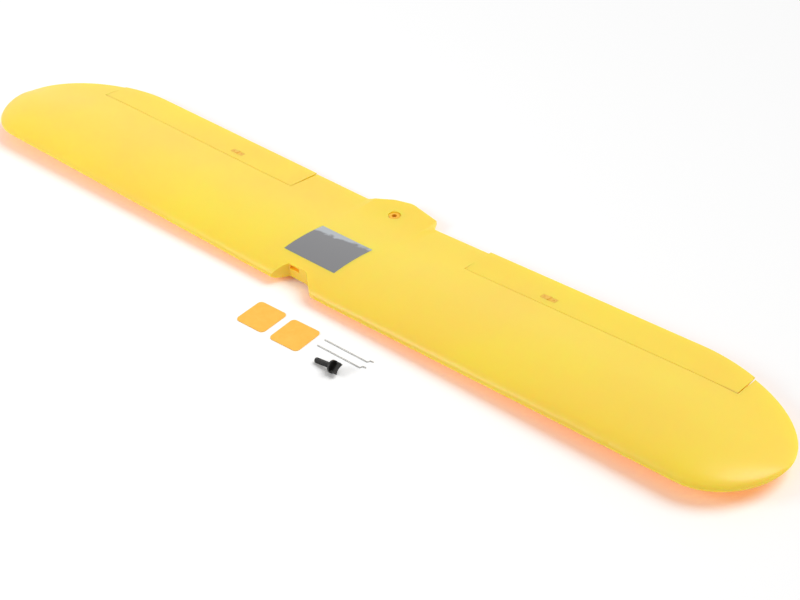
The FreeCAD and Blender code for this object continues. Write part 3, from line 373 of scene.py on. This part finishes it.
class WING_OT_foam(bpy.types.Operator):
    """Finishes the foam core and ailerons"""
    bl_idname = "wing.foam"
    bl_label = "Foam core and ailerons"

    def execute(self, context):
        settings = context.scene.wing_foam
        # expanded foam, steam-moulded in the yellow of the whole wing
        glow = "#DA8E58"
        foam = bead_foam("expanded_foam_moulded_yellow", "#FADC3B", "#FBD443", glow, settings.bead)
        for name in ("wing_core", "left_aileron", "right_aileron"):
            dress(name, foam)
        # the same foam, pressed thin and so with closer beads; its darker colour is painted shade along
        # the hinge groove
        hinge = bead_foam("expanded_foam_hinge_painted_shade", "#F3C640", "#EDBA3C", glow, settings.bead / 2)
        for side in SIDES:
            dress(f"{side}_hinge", hinge)
        return {"FINISHED"}


class WING_OT_film(bpy.types.Operator):
    """Finishes the skylight film in the centre of the wing"""
    bl_idname = "wing.film"
    bl_label = "Skylight film"

    def execute(self, context):
        # polyester film, smoked grey and ironed on
        aft_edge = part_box("skylight_film")[1].y
        # the paler bluish grey is a painted reflection along the film's aft edge
        dress("skylight_film", smoked_film("polyester_film_smoked", "#7C7C7E", "#B9BFC4", aft_edge))
        return {"FINISHED"}


class WING_OT_bolt_seat(bpy.types.Operator):
    """Finishes the wing screw's bush and its plywood plate"""
    bl_idname = "wing.bolt_seat"
    bl_label = "Screw bush and plate"

    def execute(self, context):
        # ABS, injection-moulded in amber, and sanded birch plywood
        dress("bolt_seat", moulded_plastic("abs_moulded_amber", "#F7B622", "#FABE2C", 0.35))
        dress("bolt_backplate", birch_ply("birch_plywood_sanded", "#E0C08C", "#B98F56"))
        return {"FINISHED"}


class WING_OT_horns(bpy.types.Operator):
    """Finishes the aileron horns and the clips that hold them"""
    bl_idname = "wing.horns"
    bl_label = "Control horns and clips"

    def execute(self, context):
        # nylon, injection-moulded in amber
        nylon = moulded_plastic("nylon_moulded_amber", "#EDB63A", "#F3C04A", 0.38)
        for side in SIDES:
            dress(f"{side}_control_horn", nylon)
            dress(f"{side}_horn_clip", nylon)
        return {"FINISHED"}


class WING_OT_spars(bpy.types.Operator):
    """Finishes the spar tubes and the bar that joins them"""
    bl_idname = "wing.spars"
    bl_label = "Spars and joiner"

    def execute(self, context):
        # pultruded carbon tube, and black nylon moulded with glass fibre
        carbon = pultruded_carbon("carbon_pultruded_tube", "#141416", "#3C3D42")
        for side in SIDES:
            dress(f"{side}_spar", carbon)
        dress("spar_joiner", moulded_plastic("nylon_glass_filled_black", "#1B1B1C", "#2A2A2B", 0.5))
        return {"FINISHED"}


class WING_OT_strut_fittings(bpy.types.Operator):
    """Finishes the strut fittings and their screws"""
    bl_idname = "wing.strut_fittings"
    bl_label = "Strut fittings and screws"

    def execute(self, context):
        # white injection-moulded nylon, and steel plated with zinc
        nylon = moulded_plastic("nylon_moulded_white", "#E9E6DC", "#F3F1EA", 0.42)
        zinc = drawn_steel("steel_zinc_plated", "#C9C9C6", "#A6A8A8", 2, 0.32)
        for side in SIDES:
            dress(f"{side}_strut_mount", nylon)
            dress(f"{side}_strut_screws", zinc)
        return {"FINISHED"}


class WING_OT_covers(bpy.types.Operator):
    """Finishes the two loose servo covers"""
    bl_idname = "wing.covers"
    bl_label = "Servo covers"

    def execute(self, context):
        # amber polystyrene sheet, formed under vacuum
        sheet = moulded_plastic("styrene_sheet_formed_amber", "#F8B943", "#F8C04D", 0.5, grain=0.8 * MM)
        for number in (1, 2):
            dress(f"servo_cover_{number}", sheet)
        return {"FINISHED"}


class WING_OT_pushrods(bpy.types.Operator):
    """Finishes the two loose pushrods"""
    bl_idname = "wing.pushrods"
    bl_label = "Pushrods"

    def execute(self, context):
        # bright drawn steel wire
        wire = drawn_steel("steel_wire_drawn", "#B0AFAB", "#95948F", 0, 0.32)
        for number in (1, 2):
            dress(f"pushrod_{number}", wire)
        return {"FINISHED"}


class WING_OT_wing_screw(bpy.types.Operator):
    """Finishes the loose wing screw and winds its thread"""
    bl_idname = "wing.wing_screw"
    bl_label = "Wing screw"

    def execute(self, context):
        settings = context.scene.wing_screw
        # black injection-moulded nylon
        nylon = moulded_plastic("nylon_moulded_black", "#0D0C0B", "#15130F", 0.4, specular=0.4)
        dress("wing_screw", nylon)
        piece("wing_screw_thread", self.thread(settings), nylon, "wing_screw_loose", 30)
        return {"FINISHED"}

    def thread(self, settings):
        """Ridge wound round the shank from near its tip to just under the collar."""
        pitch, steps = settings.thread_pitch, settings.thread_steps
        turns = int((SCREW_LENGTH - settings.thread_start) / pitch) - 1
        foot = SCREW_RADIUS - settings.thread_foot
        crest = SCREW_RADIUS + settings.thread_depth
        outline = [
            (foot, -THREAD_FOOT_HALF), (crest, -THREAD_CREST_HALF),
            (crest, THREAD_CREST_HALF), (foot, THREAD_FOOT_HALF),
        ]
        mesh = bmesh.new()
        corners = [mesh.verts.new((across, 0, along * pitch)) for across, along in outline]
        edges = [mesh.edges.new((corners[i - 1], corners[i])) for i in range(len(corners))]
        bmesh.ops.spin(
            mesh, geom=corners + edges, cent=(0, 0, 0), axis=(0, 0, 1), dvec=(0, 0, pitch / steps),
            angle=2 * math.pi * turns, steps=steps * turns, use_merge=False,
        )
        ends = [edge for edge in mesh.edges if edge.is_boundary]
        bmesh.ops.holes_fill(mesh, edges=ends, sides=len(corners))
        # both ends of the thread sink into the shank over half a turn
        length, half_turn = pitch * turns, pitch / 2
        for corner in mesh.verts:
            across = math.hypot(corner.co.x, corner.co.y)
            rise = min(corner.co.z, length - corner.co.z) / half_turn
            sunk = foot + (across - foot) * min(1, max(0, rise))
            corner.co.x *= sunk / across
            corner.co.y *= sunk / across
        start = Matrix.Translation((0, 0, settings.thread_start))
        upright = Matrix.Rotation(math.pi / 2 - SCREW_LEAN, 4, "Y")
        lying = Matrix.Translation(SCREW_TIP) @ Matrix.Rotation(SCREW_TURN, 4, "Z") @ upright @ start
        bmesh.ops.transform(mesh, matrix=lying, verts=mesh.verts)
        return mesh


# ---------------------------------------------------------------- stage

class WING_OT_stage(bpy.types.Operator):
    """Sets the pale floor, the soft light and the camera"""
    bl_idname = "wing.stage"
    bl_label = "Stage"

    def execute(self, context):
        settings = context.scene.wing_stage
        scene = context.scene
        self.floor()
        self.lights(scene, settings)
        self.camera(scene, settings)
        scene.view_settings.view_transform = "Standard"
        return {"FINISHED"}

    def floor(self):
        mesh = bmesh.new()
        bmesh.ops.create_grid(mesh, x_segments=1, y_segments=1, size=FLOOR_HALF_WIDTH)
        bmesh.ops.translate(mesh, verts=mesh.verts, vec=(0, 0, -FLOOR_DROP))
        data = bpy.data.meshes.new("stage_floor")
        mesh.to_mesh(data)
        mesh.free()
        data.materials.append(matt_paper("paper_backdrop_white", "#FFFFFF"))
        floor = bpy.data.objects.new("stage_floor", data)
        bpy.context.scene.collection.objects.link(floor)

    def lights(self, scene, settings):
        world = bpy.data.worlds.new("studio")
        world.use_nodes = True
        tree = world.node_tree
        tree.nodes.clear()
        path = add(tree, "ShaderNodeLightPath")
        # to the camera, and in metal and gloss, the backdrop is white
        seen = path.outputs["Is Camera Ray"]
        for ray in ("Is Glossy Ray", "Is Transmission Ray"):
            either = add(tree, "ShaderNodeMath", {0: seen, 1: path.outputs[ray]}, operation="MAXIMUM")
            seen = either.outputs[0]
        level = onto_range(tree, seen, settings.sky, 1.0)
        back = add(tree, "ShaderNodeBackground", {0: linear("#FFFFFF"), 1: level})
        add(tree, "ShaderNodeOutputWorld", {0: back.outputs[0]})
        scene.world = world
        self.distant_softbox("key_softbox", KEY_TOWARDS, KEY_SPREAD, settings.key)
        self.near_softbox("fill_softbox", FILL_PLACE, FILL_SIDE, settings.fill)

    def distant_softbox(self, name, towards, spread, level):
        """Even light from one direction, spread over some degrees, giving a white floor a brightness."""
        towards = Vector(towards).normalized()
        lamp = bpy.data.lights.new(name, "SUN")
        lamp.angle = math.radians(spread)
        lamp.energy = level * math.pi / towards.z
        self.place(lamp, towards, towards)

    def near_softbox(self, name, place, side, level):
        """Square lamp facing the wing's middle, giving a white floor there a brightness."""
        away = Vector(place)
        lamp = bpy.data.lights.new(name, "AREA")
        lamp.size = side
        # a level floor at this distance and slant sends back power * slant / (pi * distance) ** 2
        lamp.energy = level * (math.pi * away.length) ** 2 / away.normalized().z
        self.place(lamp, away, away)

    def place(self, lamp, at, towards):
        made = bpy.data.objects.new(lamp.name, lamp)
        bpy.context.scene.collection.objects.link(made)
        facing = (-towards).to_track_quat("-Z", "Y").to_matrix().to_4x4()
        made.matrix_world = Matrix.Translation(at) @ facing

    def camera(self, scene, settings):
        turn, lift, roll = settings.azimuth, settings.elevation, settings.roll
        level = Vector((math.sin(turn), -math.cos(turn), 0))
        back = level * math.cos(lift) + Vector((0, 0, math.sin(lift)))
        right = (-back).cross(Vector((0, 0, 1))).normalized()
        up = right.cross(-back)
        across = right * math.cos(roll) + up * math.sin(roll)
        upright = up * math.cos(roll) - right * math.sin(roll)
        axes = Matrix((across, upright, back)).transposed().to_4x4()
        data = bpy.data.cameras.new("camera")
        data.sensor_width = 36
        data.lens = settings.lens
        data.clip_end = 100
        made = bpy.data.objects.new("camera", data)
        scene.collection.objects.link(made)
        made.matrix_world = Matrix.Translation(Vector(settings.target) + back * settings.distance) @ axes
        scene.camera = made


# ---------------------------------------------------------------- panel and registration

class WING_PT_panel(bpy.types.Panel):
    bl_idname = "WING_PT_panel"
    bl_label = "Foam wing"
    bl_space_type = "VIEW_3D"
    bl_region_type = "UI"
    bl_category = "Foam wing"

    def draw(self, context):
        for step in STEPS:
            self.layout.operator(step.bl_idname)
        for group in (context.scene.wing_foam, context.scene.wing_screw, context.scene.wing_stage):
            box = self.layout.box()
            for name in group.__annotations__:
                box.prop(group, name)


STEPS = (
    WING_OT_stage,
    WING_OT_foam,
    WING_OT_film,
    WING_OT_bolt_seat,
    WING_OT_horns,
    WING_OT_spars,
    WING_OT_strut_fittings,
    WING_OT_covers,
    WING_OT_pushrods,
    WING_OT_wing_screw,
)
GROUPS = (FoamSettings, ScrewSettings, StageSettings)


def register():
    for made in GROUPS + STEPS + (WING_PT_panel,):
        bpy.utils.register_class(made)
    bpy.types.Scene.wing_foam = PointerProperty(type=FoamSettings)
    bpy.types.Scene.wing_screw = PointerProperty(type=ScrewSettings)
    bpy.types.Scene.wing_stage = PointerProperty(type=StageSettings)


def unregister():
    del bpy.types.Scene.wing_foam
    del bpy.types.Scene.wing_screw
    del bpy.types.Scene.wing_stage
    for made in reversed(GROUPS + STEPS + (WING_PT_panel,)):
        bpy.utils.unregister_class(made)


def main():
    register()
    for step in STEPS:
        group, name = step.bl_idname.split(".")
        getattr(getattr(bpy.ops, group), name)()


if __name__ == "__main__":
    main()
